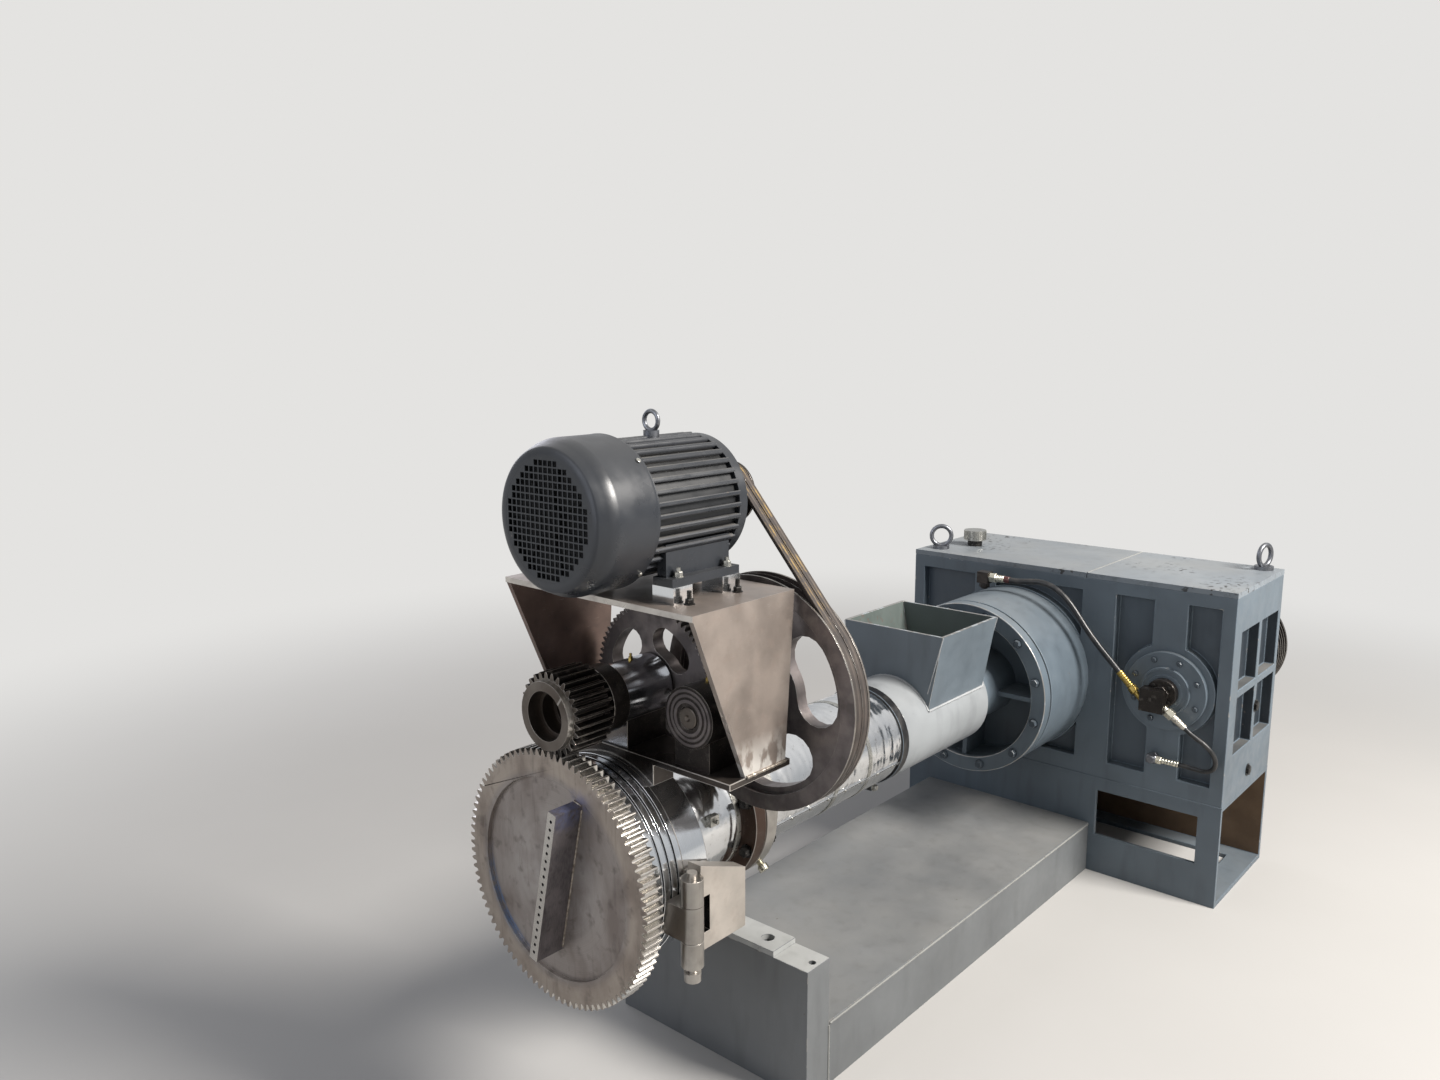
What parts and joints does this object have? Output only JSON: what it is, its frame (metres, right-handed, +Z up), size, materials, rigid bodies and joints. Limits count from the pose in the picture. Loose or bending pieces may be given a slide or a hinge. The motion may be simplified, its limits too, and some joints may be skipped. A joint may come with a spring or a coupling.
{
  "type": "plastic extruder",
  "caption": "Low plastic extruder: gearbox on a stand, thrust drum, open feed box, heated barrel and a gear-driven head with its own motor and belts.",
  "frame": {"origin": "on the floor, below the barrel's axis, on the underside of the base's rear cross beam", "axes": "+X along the barrel from the head to the gearbox, +Y to the machine's left as seen from the head, +Z up"},
  "size_m": [2.29, 0.93, 1.363],
  "materials": {
    "black_rubber": "matt",
    "blue_grey_paint": "satin",
    "bright_cover": "polished",
    "dark_gear_steel": "oiled",
    "dark_paint": "satin",
    "machined_steel": "machined",
    "raw_plate": "rolled, unpainted"
  },
  "bodies": {
    "machine": {"base_frame": "blue_grey_paint", "deck_plate": "blue_grey_paint", "front_pedestal": "blue_grey_paint", "gearbox_stand": "blue_grey_paint", "gearbox_case": "blue_grey_paint", "gearbox_lid_left": "blue_grey_paint", "gearbox_lid_right": "blue_grey_paint", "bearing_cover": "blue_grey_paint", "oil_union": "dark_gear_steel", "upper_hose": "black_rubber", "lower_hose": "black_rubber", "drum_fitting": "dark_gear_steel", "drain_valve": "dark_gear_steel", "input_pulley": "dark_gear_steel", "thrust_drum": "blue_grey_paint", "drum_flange": "blue_grey_paint", "feed_neck": "blue_grey_paint", "feed_barrel": "blue_grey_paint", "feed_box": "blue_grey_paint", "feed_screw": "machined_steel", "screw_barrel": "machined_steel", "clamp_band": "dark_gear_steel", "rear_heater_cover": "bright_cover", "barrel_flange": "raw_plate", "front_heater_cover": "bright_cover", "barrel_support": "blue_grey_paint", "head_cylinder": "machined_steel", "threaded_ring": "bright_cover", "hinge_leaf": "raw_plate", "hinge_pin": "machined_steel", "saddle_plate": "raw_plate", "drive_bracket": "raw_plate", "pinion_bearing": "machined_steel", "wheel_bearing": "dark_gear_steel", "belt_front": "black_rubber", "belt_rear": "black_rubber", "motor_body": "dark_paint", "motor_fan_cover": "dark_paint"},
    "gear_plate": {"ring_gear": "machined_steel", "perforated_strip": "machined_steel"},
    "pinion_shaft": {"pinion": "dark_gear_steel", "intermediate_gear": "dark_gear_steel"},
    "wheel_shaft": {"belt_wheel": "dark_gear_steel", "wheel_pinion": "machined_steel"},
    "motor_shaft": {"motor_pulley": "dark_gear_steel"}
  },
  "joints": [
    {"name": "gear_plate_spin", "type": "hinge", "parent": "machine", "child": "gear_plate", "pos_m": [-1.236, 0, 0.545], "axis": [1, 0, 0], "continuous": true},
    {"name": "pinion_spin", "type": "hinge", "parent": "machine", "child": "pinion_shaft", "pos_m": [-1.1, 0, 0.845], "axis": [1, 0, 0], "continuous": true},
    {"name": "wheel_spin", "type": "hinge", "parent": "machine", "child": "wheel_shaft", "pos_m": [-0.95, -0.192, 0.845], "axis": [1, 0, 0], "continuous": true},
    {"name": "motor_spin", "type": "hinge", "parent": "machine", "child": "motor_shaft", "pos_m": [-0.907, -0.096, 1.201], "axis": [1, 0, 0], "continuous": true}
  ],
  "couplings": [
    {"joint": "pinion_spin", "follows": "gear_plate_spin", "ratio": -3.2857},
    {"joint": "wheel_spin", "follows": "gear_plate_spin", "ratio": 9.8571},
    {"joint": "motor_spin", "follows": "gear_plate_spin", "ratio": 39.615}
  ]
}
